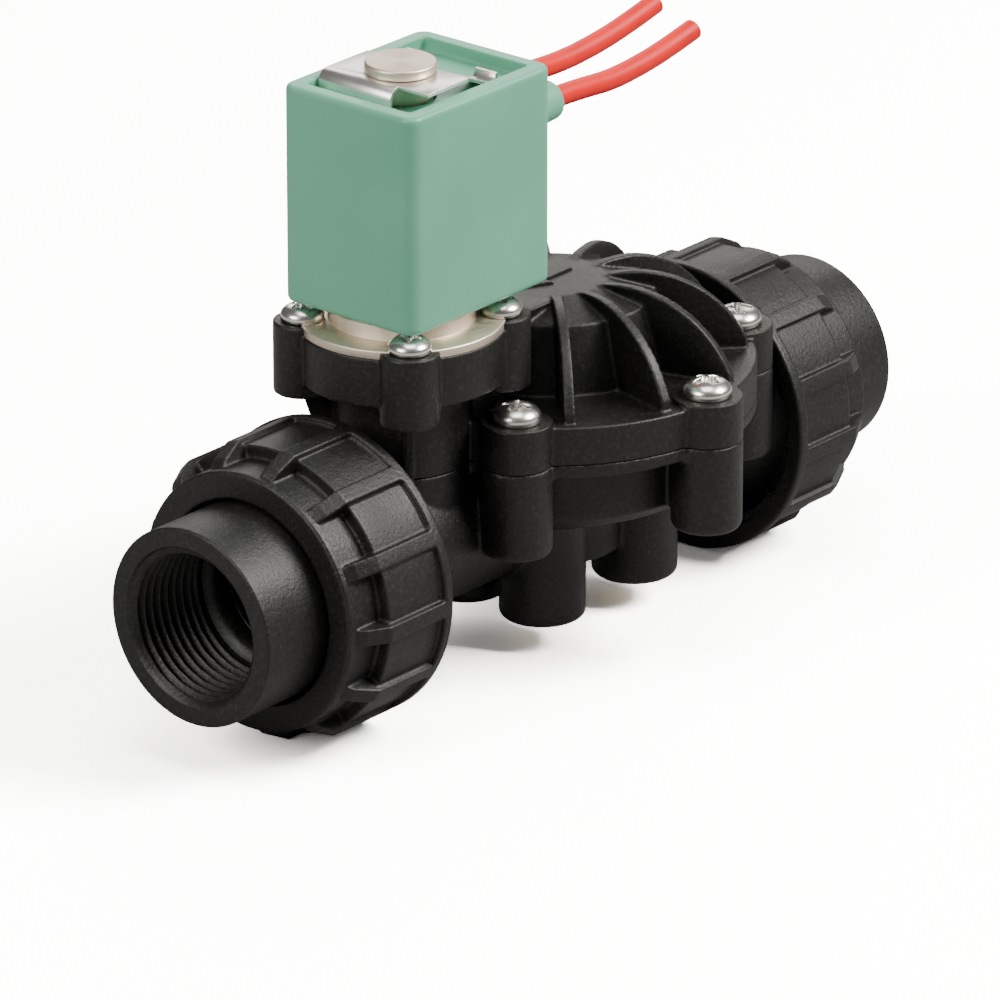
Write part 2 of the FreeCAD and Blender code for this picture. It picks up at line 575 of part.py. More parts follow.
# ---- diaphragm group -------------------------------------------------------------------
def diaphragm():
    """Rubber diaphragm: rim bead, rolling convolution and flat centre."""
    bead_in = BEAD_INNER + FIT
    bead_out = DIAPHRAGM_RADIUS - FIT
    low = SPLIT_Z - BEAD_HALF + FIT
    high = SPLIT_Z + BEAD_HALF - FIT
    bottom = SEAT_Z + FIT
    top = bottom + RUBBER + DIAPHRAGM_STEP
    web_low = SPLIT_Z - RUBBER / 2
    web_high = SPLIT_Z + RUBBER / 2
    outline = [(STUD_RADIUS + FIT, bottom), (DISC_RADIUS + 1.0, bottom),
               (DISC_RADIUS + 3.0, SEAT_Z + 1.0), (DISC_RADIUS + 7.0, web_low - 0.2),
               (BEAD_INNER - 2.0, web_low), (bead_in, web_low), (bead_in, low),
               (bead_out, low), (bead_out, high), (bead_in, high), (bead_in, web_high),
               (BEAD_INNER - 2.4, web_high), (DISC_RADIUS + 6.0, web_high - 0.1),
               (DISC_RADIUS + 2.4, top + 0.7), (DISC_RADIUS + 0.8, top),
               (STUD_RADIUS + FIT, top)]
    return revolve_z(BONNET_X, 0, outline)


def diaphragm_support():
    """Plastic disc on top of the rubber; its hub centres the spring."""
    hub = MAIN_SPRING_RADIUS - 1.5 * MAIN_SPRING_WIRE - GAP
    hub_top = SUPPORT_BASE_Z + SUPPORT_HUB
    outline = [(STUD_RADIUS + FIT, SUPPORT_BASE_Z), (DISC_RADIUS - 0.5, SUPPORT_BASE_Z),
               (DISC_RADIUS, SUPPORT_BASE_Z + 0.5), (DISC_RADIUS, SPRING_SEAT_Z),
               (hub, SPRING_SEAT_Z), (hub, hub_top - 0.6), (hub - 0.6, hub_top),
               (STUD_RADIUS + FIT, hub_top)]
    return revolve_z(BONNET_X, 0, outline)


def diaphragm_retainer():
    """Clamps the rubber from below; its stud passes up through the support."""
    skirt = SEAT_BORE - 0.6
    stud_top = SUPPORT_BASE_Z + SUPPORT_HUB + PUSH_NUT_THICKNESS
    outline = [(0, SEAT_Z - 3.2), (skirt - 1.6, SEAT_Z - 3.2), (skirt, SEAT_Z - 1.4),
               (skirt, SEAT_Z), (STUD_RADIUS, SEAT_Z), (STUD_RADIUS, stud_top), (0, stud_top)]
    body = revolve_z(BONNET_X, 0, outline)
    slot = block(BONNET_X + 3.4, BONNET_X + SEAT_BORE, -0.7, 0.7, SEAT_Z - 4, SEAT_Z - 2)
    return cut(body, [turned(slot, 120 * index, BONNET_X, 0) for index in range(3)])


def push_nut():
    low = SUPPORT_BASE_Z + SUPPORT_HUB + FIT
    disc = tube_z(BONNET_X, 0, low, low + PUSH_NUT_THICKNESS, PUSH_NUT_RADIUS)
    return disc.cut(tube_z(BONNET_X, 0, low - 1, low + 1, STUD_RADIUS + FIT))


def coil_spring(x, y, low, high, radius, wire, turns):
    """A compression spring as one swept helix between two z levels."""
    height = high - low - 2 * wire
    helix = Part.makeHelix(height / turns, height, radius - wire)
    section = Part.Wire(Part.makeCircle(wire / 2, Vector(radius - wire, 0, 0),
                                        Vector(0, 1, 0)))
    spring = Part.Wire(helix).makePipeShell([section], True, True)
    spring.translate(Vector(x, y, low + wire))
    return spring


# ---- core tube and core ----------------------------------------------------------------
def solenoid_base():
    """Stainless base plate and hub, pressed from one blank, with notches for the screws."""
    hub_bore = CORE_TUBE_RADIUS + FIT / 2
    solid = revolve_z(TOWER_X, 0, [(hub_bore, PLATE_BOTTOM_Z),
                                   (PLATE_RADIUS, PLATE_BOTTOM_Z),
                                   (PLATE_RADIUS, PLATE_TOP_Z - 0.15),
                                   (PLATE_RADIUS - 0.15, PLATE_TOP_Z),
                                   (HUB_RADIUS, PLATE_TOP_Z), (HUB_RADIUS, HUB_TOP_Z - 0.4),
                                   (HUB_RADIUS - 0.4, HUB_TOP_Z), (hub_bore, HUB_TOP_Z)])
    notches = []
    for x, y in tower_points():
        angle = math.atan2(y, x - TOWER_X)
        notch_radius = TOWER_SCREW["shank"] + 0.4
        notches.append(tube_z(x, y, PLATE_BOTTOM_Z - 1, PLATE_TOP_Z + 1, notch_radius))
        mouth = Part.makeBox(8, 2 * notch_radius, PLATE_THICKNESS + 2,
                             Vector(0, -notch_radius, PLATE_BOTTOM_Z - 1))
        mouth.rotate(Vector(0, 0, 0), UP, math.degrees(angle))
        mouth.translate(Vector(x, y, 0))
        notches.append(mouth)
    return cut(solid, notches)


def base_gasket_groove():
    inner = GASKET_RADIUS - GASKET_GROOVE_HALF
    outer = GASKET_RADIUS + GASKET_GROOVE_HALF
    floor = PLATE_BOTTOM_Z - 2 * GASKET_SECTION
    return revolve_z(TOWER_X, 0, [(inner, floor), (outer, floor), (outer, PLATE_BOTTOM_Z + 1),
                                  (inner, PLATE_BOTTOM_Z + 1)])


def base_gasket():
    return Part.makeTorus(GASKET_RADIUS, GASKET_SECTION - FIT,
                          Vector(TOWER_X, 0, PLATE_BOTTOM_Z - GASKET_SECTION))


def core_tube():
    outside = tube_z(TOWER_X, 0, PLATE_BOTTOM_Z, TUBE_TOP_Z, CORE_TUBE_RADIUS)
    return outside.cut(tube_z(TOWER_X, 0, PLATE_BOTTOM_Z - 1, TUBE_TOP_Z + 1, CORE_TUBE_BORE))


def fixed_core():
    """Pole piece welded in the tube; its grooved head stands above the coil."""
    radius = CORE_TUBE_BORE - FIT / 2
    ring_top = FIXED_CORE_Z + SHADING_DEPTH
    pocket_top = FIXED_CORE_Z + POLE_POCKET_DEPTH
    outline = [(POLE_POCKET_RADIUS, FIXED_CORE_Z), (SHADING_INNER, FIXED_CORE_Z),
               (SHADING_INNER, ring_top), (SHADING_OUTER, ring_top),
               (SHADING_OUTER, FIXED_CORE_Z), (radius, FIXED_CORE_Z),
               (radius, TUBE_TOP_Z), (CORE_TUBE_RADIUS, TUBE_TOP_Z),
               (CORE_TUBE_RADIUS, CLIP_Z - 0.4), (POST_GROOVE_RADIUS, CLIP_Z - 0.4),
               (POST_GROOVE_RADIUS, POST_HEAD_Z), (POST_HEAD_RADIUS - 0.3, POST_HEAD_Z),
               (POST_HEAD_RADIUS, POST_HEAD_Z + 0.3), (POST_HEAD_RADIUS, POST_TOP_Z - 0.5),
               (POST_HEAD_RADIUS - 0.5, POST_TOP_Z), (0, POST_TOP_Z), (0, pocket_top),
               (POLE_POCKET_RADIUS, pocket_top)]
    return revolve_z(TOWER_X, 0, outline)


def shading_ring():
    inner = SHADING_INNER + FIT / 2
    outer = SHADING_OUTER - FIT / 2
    low = FIXED_CORE_Z + 2 * FIT
    high = FIXED_CORE_Z + SHADING_DEPTH - FIT
    return revolve_z(TOWER_X, 0, [(inner, low), (outer, low), (outer, high), (inner, high)])


def plunger():
    """Moving core: seal pocket below, spring pocket above."""
    spring_bore = CORE_SPRING_RADIUS + 0.2
    spring_floor = CORE_TOP_Z - CORE_SPRING_POCKET
    seal_top = CORE_BOTTOM_Z + SEAL_PIN_DEPTH
    outline = [(SEAL_PIN_RADIUS, CORE_BOTTOM_Z), (CORE_RADIUS - 0.6, CORE_BOTTOM_Z),
               (CORE_RADIUS, CORE_BOTTOM_Z + 0.6), (CORE_RADIUS, CORE_TOP_Z - 0.4),
               (CORE_RADIUS - 0.4, CORE_TOP_Z), (spring_bore, CORE_TOP_Z),
               (spring_bore, spring_floor), (0, spring_floor), (0, seal_top),
               (SEAL_PIN_RADIUS, seal_top)]
    return revolve_z(TOWER_X, 0, outline)


def core_seal():
    return tube_z(TOWER_X, 0, PILOT_SEAT_Z + FIT, CORE_BOTTOM_Z + SEAL_PIN_DEPTH - FIT,
                  SEAL_PIN_RADIUS - FIT)


# ---- coil ------------------------------------------------------------------------------
def rounded_box(x, half_x, half_y, low, high, corner, edge_round):
    solid = block(x - half_x, x + half_x, -half_y, half_y, low, high)
    upright = [edge for edge in solid.Edges if abs(edge.tangentAt(0).z) > 0.9]
    solid = solid.makeFillet(corner, upright)
    if edge_round > 0:
        rims = [edge for edge in solid.Edges if edge.BoundBox.ZLength < 0.01]
        solid = solid.makeFillet(edge_round, rims)
    return solid


def yoke_space(clearance):
    """Steel frame: bottom plate, back plate and top plate."""
    low = COIL_BOTTOM_Z + YOKE_COVER
    high = RECESS_Z - YOKE_COVER
    back = COIL_X + COIL_HALF_X - LEAD_ROOT_DEPTH - 1.5
    front = COIL_X - COIL_HALF_X + 4.5
    half = YOKE_HALF_WIDTH + clearance
    top = block(front - clearance, back + clearance, -half, half,
                high - YOKE_SHEET - clearance, high + clearance)
    bottom = block(front - clearance, back + clearance, -half, half,
                   low - clearance, low + YOKE_SHEET + clearance)
    plate = block(back - YOKE_SHEET - clearance, back + clearance, -half, half,
                  low - clearance, high + clearance)
    return fused([top, bottom, plate])


def bobbin_levels():
    low = COIL_BOTTOM_Z + YOKE_COVER + YOKE_SHEET + 2 * FIT
    high = RECESS_Z - YOKE_COVER - YOKE_SHEET - 2 * FIT
    return low, high


def coil_yoke():
    bore = tube_z(TOWER_X, 0, COIL_BOTTOM_Z, COIL_TOP_Z, COIL_BORE)
    return cut(yoke_space(0.0), [bore])


def coil_bobbin():
    low, high = bobbin_levels()
    tube = COIL_BORE + BOBBIN_WALL
    low_in = low + BOBBIN_FLANGE
    high_in = high - BOBBIN_FLANGE
    return revolve_z(TOWER_X, 0, [(COIL_BORE, low), (BOBBIN_FLANGE_RADIUS, low),
                                  (BOBBIN_FLANGE_RADIUS, low_in), (tube, low_in),
                                  (tube, high_in), (BOBBIN_FLANGE_RADIUS, high_in),
                                  (BOBBIN_FLANGE_RADIUS, high), (COIL_BORE, high)])


def coil_winding():
    low, high = bobbin_levels()
    inner = COIL_BORE + BOBBIN_WALL + FIT
    start = low + BOBBIN_FLANGE + FIT
    end = high - BOBBIN_FLANGE - FIT
    return revolve_z(TOWER_X, 0, [(inner, start), (WINDING_RADIUS, start),
                                  (WINDING_RADIUS, end), (inner, end)])


def lead_bosses(side):
    face_x = COIL_X + COIL_HALF_X
    return Part.makeCone(LEAD_BOSS_RADIUS, LEAD_BOSS_TIP_RADIUS, LEAD_BOSS_LENGTH + 1,
                         Vector(face_x - 1, side * LEAD_Y, LEAD_Z), ALONG)


def coil_housing():
    """Green moulding round the winding and yoke, with a clip recess and two lead bosses."""
    outer = rounded_box(COIL_X, COIL_HALF_X, COIL_HALF_Y, COIL_BOTTOM_Z, COIL_TOP_Z,
                        COIL_CORNER, COIL_EDGE)
    outer = fused([outer, lead_bosses(1), lead_bosses(-1)])
    recess = rounded_box(COIL_X, COIL_HALF_X - COIL_RIM, COIL_HALF_Y - COIL_RIM, RECESS_Z,
                         COIL_TOP_Z + 3, RECESS_CORNER, 0)
    low, high = bobbin_levels()
    holes = [recess, yoke_space(FIT),
             tube_z(TOWER_X, 0, COIL_BOTTOM_Z - 1, COIL_TOP_Z + 1, COIL_BORE),
             tube_z(TOWER_X, 0, low - FIT, high + FIT, BOBBIN_FLANGE_RADIUS + FIT)]
    for side in (-1, 1):
        start = COIL_X + COIL_HALF_X - LEAD_ROOT_DEPTH - 0.5
        bore = Part.makeCylinder(LEAD_RADIUS + FIT, LEAD_BOSS_LENGTH + 8,
                                 Vector(start, side * LEAD_Y, LEAD_Z), ALONG)
        holes.append(bore)
    return cut(outer, holes)


# ---- retaining clip --------------------------------------------------------------------
def clip_leg(reach):
    """One leg: down from the sheet to the recess floor, with its end turned up."""
    knee = TOWER_X + CLIP_KNEE_X
    toe = TOWER_X + CLIP_TOE_X
    ear = TOWER_X + CLIP_EAR_X
    floor = RECESS_Z + FIT
    ear_top = floor + CLIP_EAR_HEIGHT
    return prism_y([(TOWER_X, CLIP_Z), (TOWER_X, CLIP_Z + CLIP_SHEET),
                    (knee, CLIP_Z + CLIP_SHEET), (toe, floor + CLIP_SHEET),
                    (ear - 2 * CLIP_SHEET, floor + CLIP_SHEET), (ear - CLIP_SHEET, floor + 1.2),
                    (ear - CLIP_SHEET, ear_top), (ear, ear_top), (ear, floor + 0.6),
                    (ear - 0.6, floor), (toe, floor), (knee, CLIP_Z)], *reach)


def clip_lip(half):
    """Rounded lip turned down at the front of the clip, stopping short of one corner."""
    bend = TOWER_X + CLIP_LIP_X
    top = CLIP_Z + CLIP_SHEET
    axis_z = top - CLIP_LIP_RADIUS
    width = half - CLIP_NOTCH_Y
    along = Vector(0, 1, 0)
    start = Vector(bend, CLIP_NOTCH_Y, axis_z)
    outer = Part.makeCylinder(CLIP_LIP_RADIUS, width, start, along)
    inner = Part.makeCylinder(CLIP_LIP_RADIUS - CLIP_SHEET, width + 2,
                              start - along, along)
    quarter = block(bend - CLIP_LIP_RADIUS - 1, bend, CLIP_NOTCH_Y, half, axis_z, top + 1)
    skirt_x = bend - CLIP_LIP_RADIUS
    skirt = block(skirt_x, skirt_x + CLIP_SHEET, CLIP_NOTCH_Y, half, top - CLIP_LIP_DROP, axis_z)
    return [outer.cut(inner).common(quarter), skirt]


def retaining_clip():
    """Spring clip: sheet in the post's groove, a bent lip and two sprung legs."""
    half = COIL_HALF_Y - COIL_RIM - GAP
    groove = POST_GROOVE_RADIUS + FIT
    low = CLIP_Z
    high = CLIP_Z + CLIP_SHEET
    sheet = block(TOWER_X + CLIP_LIP_X, TOWER_X + CLIP_KNEE_X, -half, half, low, high)
    legs = [clip_leg(CLIP_LEFT_LEG), clip_leg(CLIP_RIGHT_LEG)]
    solid = fused([sheet] + legs + clip_lip(half))
    slot = block(TOWER_X, TOWER_X + CLIP_EAR_X + 1, -groove, groove, RECESS_Z, high + 1)
    return cut(solid, [slot, tube_z(TOWER_X, 0, low - 1, high + 1, groove)])


# ---- leads -----------------------------------------------------------------------------
LEAD_ROUTES = {"rear_lead": [(2.6, 5.7, 67.6), (10.6, 5.7, 67.4), (19.6, 5.8, 66.9),
                             (28.8, 5.8, 67.6), (37.2, 5.8, 69.0), (43.6, 5.8, 70.5)],
               "front_lead": [(2.6, -5.7, 67.6), (9.6, -5.7, 67.4), (17.4, -5.8, 66.7),
                              (25.2, -5.8, 67.2), (32.8, -5.8, 68.3), (39.2, -5.8, 69.7)]}


def rounded_path(points):
    """Straight runs joined by tangent arcs; also returns the arc radii."""
    edges = []
    radii = []
    start = points[0]
    for before, corner, after in zip(points, points[1:], points[2:]):
        into = (corner - before).normalize()
        out = (after - corner).normalize()
        turn = into.getAngle(out)
        run = min((corner - before).Length, (after - corner).Length)
        trim = 0.45 * run
        radii.append(trim / math.tan(turn / 2))
        entry = corner - into * trim
        leave = corner + out * trim
        bisector = (out - into).normalize()
        centre = corner + bisector * (radii[-1] / math.cos(turn / 2))
        middle = centre - bisector * radii[-1]
        edges.append(Part.LineSegment(start, entry).toShape())
        edges.append(Part.Arc(entry, middle, leave).toShape())
        start = leave
    edges.append(Part.LineSegment(start, points[-1]).toShape())
    return Part.Wire(edges), radii


def lead(name):
    route = [Vector(*point) for point in LEAD_ROUTES[name]]
    path, radii = rounded_path(route)
    section = Part.Wire(Part.makeCircle(LEAD_RADIUS, route[0], ALONG))
    tube = path.makePipeShell([section], True, False)
    expected = math.pi * LEAD_RADIUS ** 2 * path.Length
    print(name, "length", round(path.Length, 2), "radii", [round(r, 1) for r in radii],
          "volume ratio", round(tube.Volume / expected, 4))
    return tube


def lead_root(name):
    """The stretch of lead inside its boss and the moulding."""
    tip = Vector(*LEAD_ROUTES[name][0])
    start = COIL_X + COIL_HALF_X - LEAD_ROOT_DEPTH
    return Part.makeCylinder(LEAD_RADIUS, tip.x - start, Vector(start, tip.y, tip.z), ALONG)


# ---- fasteners -------------------------------------------------------------------------
def pan_head_screw(x, y, seat_z, size):
    """Pan head with a cross recess; the thread is a plain cylinder."""
    head = size["head"]
    height = size["height"]
    crown = head * 0.55
    points = [Vector(0, 0, 0), Vector(head, 0, 0), Vector(head, 0, height * 0.35),
              Vector(crown, 0, height), Vector(0, 0, height)]
    shoulder = Vector(head * 0.9, 0, height * 0.78)
    edges = [Part.LineSegment(points[0], points[1]).toShape(),
             Part.LineSegment(points[1], points[2]).toShape(),
             Part.Arc(points[2], shoulder, points[3]).toShape(),
             Part.LineSegment(points[3], points[4]).toShape(),
             Part.LineSegment(points[4], points[0]).toShape()]
    dome = Part.Face(Part.Wire(edges)).revolve(Vector(0, 0, 0), UP, 360)
    shank = tube_z(0, 0, -size["length"], 0.2, size["shank"])
    arm = head * 0.5
    width = head * 0.13
    depth = height * 0.6
    bars = [block(-arm, arm, -width, width, height - depth, height + 1),
            block(-width, width, -arm, arm, height - depth, height + 1)]
    screw = cut(fused([dome, shank]), bars)
    screw.translate(Vector(x, y, seat_z))
    return screw


# ---- build -----------------------------------------------------------------------------
def build_unions():
    for name, mirrored in (("inlet", False), ("outlet", True)):
        place = end_for_outlet if mirrored else (lambda shape: shape)
        save(name + "_union_nut", [place(union_nut(NUT_RIB_PHASE[name]))])
        save(name + "_tailpiece", [place(tailpiece())])
        save(name + "_union_seal", [place(union_seal())])


def build_body():
    save("valve_body", [valve_body()])
    save("bonnet", [bonnet()])
    save("pilot_seat_insert", [pilot_seat_insert()])
    insert_low = SPLIT_Z - BONNET_INSERT_LENGTH + FIT
    save("bonnet_screw_inserts", [insert(x, y, insert_low, SPLIT_Z - FIT, BONNET_INSERT_RADIUS,
                                         BONNET_SCREW["shank"] + FIT)
                                  for x, y in bolt_points()])
    save("mounting_foot_inserts", [insert(x, y, FOOT_PLANE_Z, FOOT_PLANE_Z + FOOT_INSERT_LENGTH
                                          - FIT, FOOT_INSERT_RADIUS, FOOT_INSERT_BORE)
                                   for x, y in foot_points()])
    save("bonnet_screws", [pan_head_screw(x, y, BOSS_TOP_Z, BONNET_SCREW)
                           for x, y in bolt_points()])


def build_diaphragm():
    save("diaphragm", [diaphragm()])
    save("diaphragm_support", [diaphragm_support()])
    save("diaphragm_retainer", [diaphragm_retainer()])
    save("diaphragm_push_nut", [push_nut()])
    save("diaphragm_spring", [coil_spring(BONNET_X, 0, SPRING_SEAT_Z, CHAMBER_ROOF_Z,
                                          MAIN_SPRING_RADIUS, MAIN_SPRING_WIRE,
                                          MAIN_SPRING_TURNS)])


def build_solenoid():
    save("solenoid_base", [solenoid_base()])
    save("base_gasket", [base_gasket()])
    save("core_tube", [core_tube()])
    save("fixed_core", [fixed_core()])
    save("shading_ring", [shading_ring()])
    save("plunger", [plunger()])
    save("plunger_seal", [core_seal()])
    save("plunger_spring", [coil_spring(TOWER_X, 0, CORE_TOP_Z - CORE_SPRING_POCKET + FIT,
                                        FIXED_CORE_Z + POLE_POCKET_DEPTH - FIT,
                                        CORE_SPRING_RADIUS, CORE_SPRING_WIRE,
                                        CORE_SPRING_TURNS)])
    save("tower_screws", [pan_head_screw(x, y, PLATE_TOP_Z, TOWER_SCREW)
                          for x, y in tower_points()])


def build_coil():
    save("coil_housing", [coil_housing()])
    save("coil_yoke", [coil_yoke()])
    save("coil_bobbin", [coil_bobbin()])
    save("coil_winding", [coil_winding()])
    save("retaining_clip", [retaining_clip()])
    for name in LEAD_ROUTES:
        save(name, [lead(name)])
        save(name + "_root", [lead_root(name)])


os.makedirs("parts", exist_ok=True)
build_unions()
build_body()
build_diaphragm()
build_solenoid()
build_coil()
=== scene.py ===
import json
import math

import bmesh
import bpy
from mathutils import Matrix, Vector


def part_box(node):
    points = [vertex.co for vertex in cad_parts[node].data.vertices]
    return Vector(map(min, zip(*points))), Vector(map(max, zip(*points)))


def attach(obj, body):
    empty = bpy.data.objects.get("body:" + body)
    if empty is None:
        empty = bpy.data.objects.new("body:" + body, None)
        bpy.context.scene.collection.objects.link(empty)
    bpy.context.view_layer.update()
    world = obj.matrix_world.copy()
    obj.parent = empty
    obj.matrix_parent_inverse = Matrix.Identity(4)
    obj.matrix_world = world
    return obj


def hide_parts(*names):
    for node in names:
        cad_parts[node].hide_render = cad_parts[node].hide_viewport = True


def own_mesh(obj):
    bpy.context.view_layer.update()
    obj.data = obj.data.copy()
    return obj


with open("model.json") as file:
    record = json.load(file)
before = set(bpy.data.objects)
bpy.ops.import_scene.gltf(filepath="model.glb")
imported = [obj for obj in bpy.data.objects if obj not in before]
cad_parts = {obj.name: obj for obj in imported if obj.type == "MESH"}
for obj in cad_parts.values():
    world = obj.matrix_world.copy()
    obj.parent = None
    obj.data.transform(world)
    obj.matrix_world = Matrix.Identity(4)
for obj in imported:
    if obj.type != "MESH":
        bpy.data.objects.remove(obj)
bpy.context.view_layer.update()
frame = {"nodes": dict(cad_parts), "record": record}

# The visible model of the solenoid valve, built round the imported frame.  Sizes are in
# millimetres unless a comment says metres, and MM turns them into metres.
MM = 0.001
nodes = frame["nodes"]
bodies = frame["record"]["behaviour"]["bodies"]
mounts = {mount["name"]: mount for mount in frame["record"]["mounts"]}


# ---- places taken from the frame -------------------------------------------------------
def middle(node):
    """The centre of a CAD node's box."""
    low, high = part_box(node)
    return (low + high) / 2


flow_centre = (middle("inlet_tailpiece") + middle("outlet_tailpiece")) / 2
tower_axis = middle("core_tube")
bonnet_axis = middle("diaphragm_retainer")
head_low, head_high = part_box("fixed_core")


# ---- mesh helpers ----------------------------------------------------------------------
def link(name, data):
    """A new object in the scene for a mesh, curve, camera or lamp."""
    piece = bpy.data.objects.new(name, data)
    bpy.context.scene.collection.objects.link(piece)
    return piece


MOST_TRIANGLES = 180000       # for one remeshed shell
WELD_SHELL = 1e-6             # metres, before a remesh
WELD_FINE = 1e-7              # metres, everywhere else


def weld(bm, distance):
    """Joins vertices that are closer than a distance in metres."""
    bmesh.ops.remove_doubles(bm, verts=bm.verts, dist=distance)


def finish_mesh(mesh, sharp_degrees):
    """Welds doubles, points the normals outwards and shades smooth with sharp edges kept."""
    bm = bmesh.new()
    bm.from_mesh(mesh)
    weld(bm, WELD_FINE)
    bmesh.ops.recalc_face_normals(bm, faces=bm.faces)
    bm.to_mesh(mesh)
    bm.free()
    mesh.polygons.foreach_set("use_smooth", [True] * len(mesh.polygons))
    mesh.set_sharp_from_angle(angle=math.radians(sharp_degrees))


def apply_modifiers(piece):
    """Turns a piece's modifiers into its mesh."""
    depsgraph = bpy.context.evaluated_depsgraph_get()
    mesh = bpy.data.meshes.new_from_object(piece.evaluated_get(depsgraph))
    piece.modifiers.clear()
    piece.data = mesh


def softened(node, voxel_mm, smoothing):
    """A copy of a CAD node with the small moulded radii on every edge."""
    piece = link(node + "_shell", nodes[node].data.copy())
    bm = bmesh.new()
    bm.from_mesh(piece.data)
    weld(bm, WELD_SHELL)
    bm.to_mesh(piece.data)
    bm.free()
    remesh = piece.modifiers.new("remesh", "REMESH")
    remesh.mode = "VOXEL"
    remesh.voxel_size = voxel_mm * MM
    smooth = piece.modifiers.new("smooth", "SMOOTH")
    smooth.factor = 0.5
    smooth.iterations = smoothing
    apply_modifiers(piece)
    triangles = 2 * len(piece.data.polygons)
    if triangles > MOST_TRIANGLES:
        fewer = piece.modifiers.new("fewer", "DECIMATE")
        fewer.ratio = MOST_TRIANGLES / triangles
        apply_modifiers(piece)
    piece.data.polygons.foreach_set("use_smooth", [True] * len(piece.data.polygons))
    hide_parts(node)
    dress(piece, node)


def at_turn(place, radius, turn, height):
    """The point at a radius, a share of a full turn and a height about a placed axis."""
    angle = 2 * math.pi * turn
    return place @ Vector((radius * math.cos(angle) * MM, radius * math.sin(angle) * MM,
                           height * MM))


def closed_round(name, rings, place, sharp_degrees):
    """A piece from one closed outline of (radius, height) in mm for each step of a full turn."""
    segments = len(rings)
    rows = len(rings[0])
    verts = [at_turn(place, radius, step / segments, height)
             for step, ring in enumerate(rings) for radius, height in ring]
    faces = []
    for step in range(segments):
        after = (step + 1) % segments
        for row in range(rows):
            above = (row + 1) % rows
            faces.append((step * rows + row, after * rows + row,
                          after * rows + above, step * rows + above))
    mesh = bpy.data.meshes.new(name)
    mesh.from_pydata(verts, [], faces)
    finish_mesh(mesh, sharp_degrees)
    return link(name, mesh)


def arc_points(centre, radius, start, end, count):
    """Points of an arc in the outline's plane; angles in degrees."""
    points = []
    for index in range(count + 1):
        angle = math.radians(start + (end - start) * index / count)
        points.append((centre[0] + radius * math.cos(angle),
                       centre[1] + radius * math.sin(angle)))
    return points


# ---- materials -------------------------------------------------------------------------
NOISE_LOW = 0.3
NOISE_HIGH = 0.7


class Shader:
    """A small builder for one node material."""

    def __init__(self, name, colour, roughness, metallic=0.0):
        self.material = bpy.data.materials.new(name)
        self.material.use_nodes = True
        self.tree = self.material.node_tree
        self.surface = self.tree.nodes["Principled BSDF"]
        self.surface.inputs["Base Color"].default_value = (*colour, 1)
        self.surface.inputs["Roughness"].default_value = roughness
        self.surface.inputs["Metallic"].default_value = metallic
        self.place = self.tree.nodes.new("ShaderNodeTexCoord").outputs["Object"]

    def noise(self, scale, detail, roughness, stretch=None):
        """Noise over the piece's own space, drawn out by a scale for each axis."""
        place = self.place
        if stretch:
            mapping = self.tree.nodes.new("ShaderNodeMapping")
            mapping.inputs["Scale"].default_value = stretch
            self.tree.links.new(place, mapping.inputs["Vector"])
            place = mapping.outputs["Vector"]
        node = self.tree.nodes.new("ShaderNodeTexNoise")
        node.inputs["Scale"].default_value = scale
        node.inputs["Detail"].default_value = detail
        node.inputs["Roughness"].default_value = roughness
        self.tree.links.new(place, node.inputs["Vector"])
        return node.outputs["Fac"]

    def ramp(self, source, stops):
        """Colours by level, from (level, colour) stops."""
        node = self.tree.nodes.new("ShaderNodeValToRGB")
        elements = node.color_ramp.elements
        while len(elements) < len(stops):
            elements.new(0.5)
        for element, (position, colour) in zip(elements, stops):
            element.position = position
            element.color = (*colour, 1)
        self.tree.links.new(source, node.inputs["Fac"])
        return node.outputs["Color"]

    def remap(self, source, low, high):
        """Spreads the middle of a noise over a range."""
        node = self.tree.nodes.new("ShaderNodeMapRange")
        node.inputs["From Min"].default_value = NOISE_LOW
        node.inputs["From Max"].default_value = NOISE_HIGH
        node.inputs["To Min"].default_value = low
        node.inputs["To Max"].default_value = high
        self.tree.links.new(source, node.inputs["Value"])
        return node.outputs["Result"]

    def bump(self, source, strength, distance_mm, below=None):
        """Surface relief from a level, on top of another relief if one is given."""
        node = self.tree.nodes.new("ShaderNodeBump")
        node.inputs["Strength"].default_value = strength
        node.inputs["Distance"].default_value = distance_mm * MM
        self.tree.links.new(source, node.inputs["Height"])
        if below is not None:
            self.tree.links.new(below, node.inputs["Normal"])
        return node.outputs["Normal"]

    def feed(self, socket, source):
        """Joins an output to a socket of the surface."""
        self.tree.links.new(source, self.surface.inputs[socket])


def black_plastic():
    """Glass-filled black plastic: satin, warm, with a mottle of fibres at the surface."""
    shader = Shader("black_plastic", (0.006, 0.006, 0.0055), 0.45)
    shader.surface.inputs["Specular IOR Level"].default_value = 0.42
    mottle = shader.noise(1300, 6, 0.75)
    cloud = shader.noise(70, 3, 0.5)
    shader.feed("Base Color", shader.ramp(mottle, [(0.36, (0.0030, 0.0029, 0.0025)),
                                                   (0.52, (0.0055, 0.0052, 0.0045)),
                                                   (0.66, (0.0200, 0.0188, 0.0162))]))
    shader.feed("Roughness", shader.remap(cloud, 0.38, 0.50))
    grain = shader.noise(1500, 4, 0.7)
    shader.feed("Normal", shader.bump(grain, 1.0, 0.11, shader.bump(mottle, 0.30, 0.10)))
    return shader.material


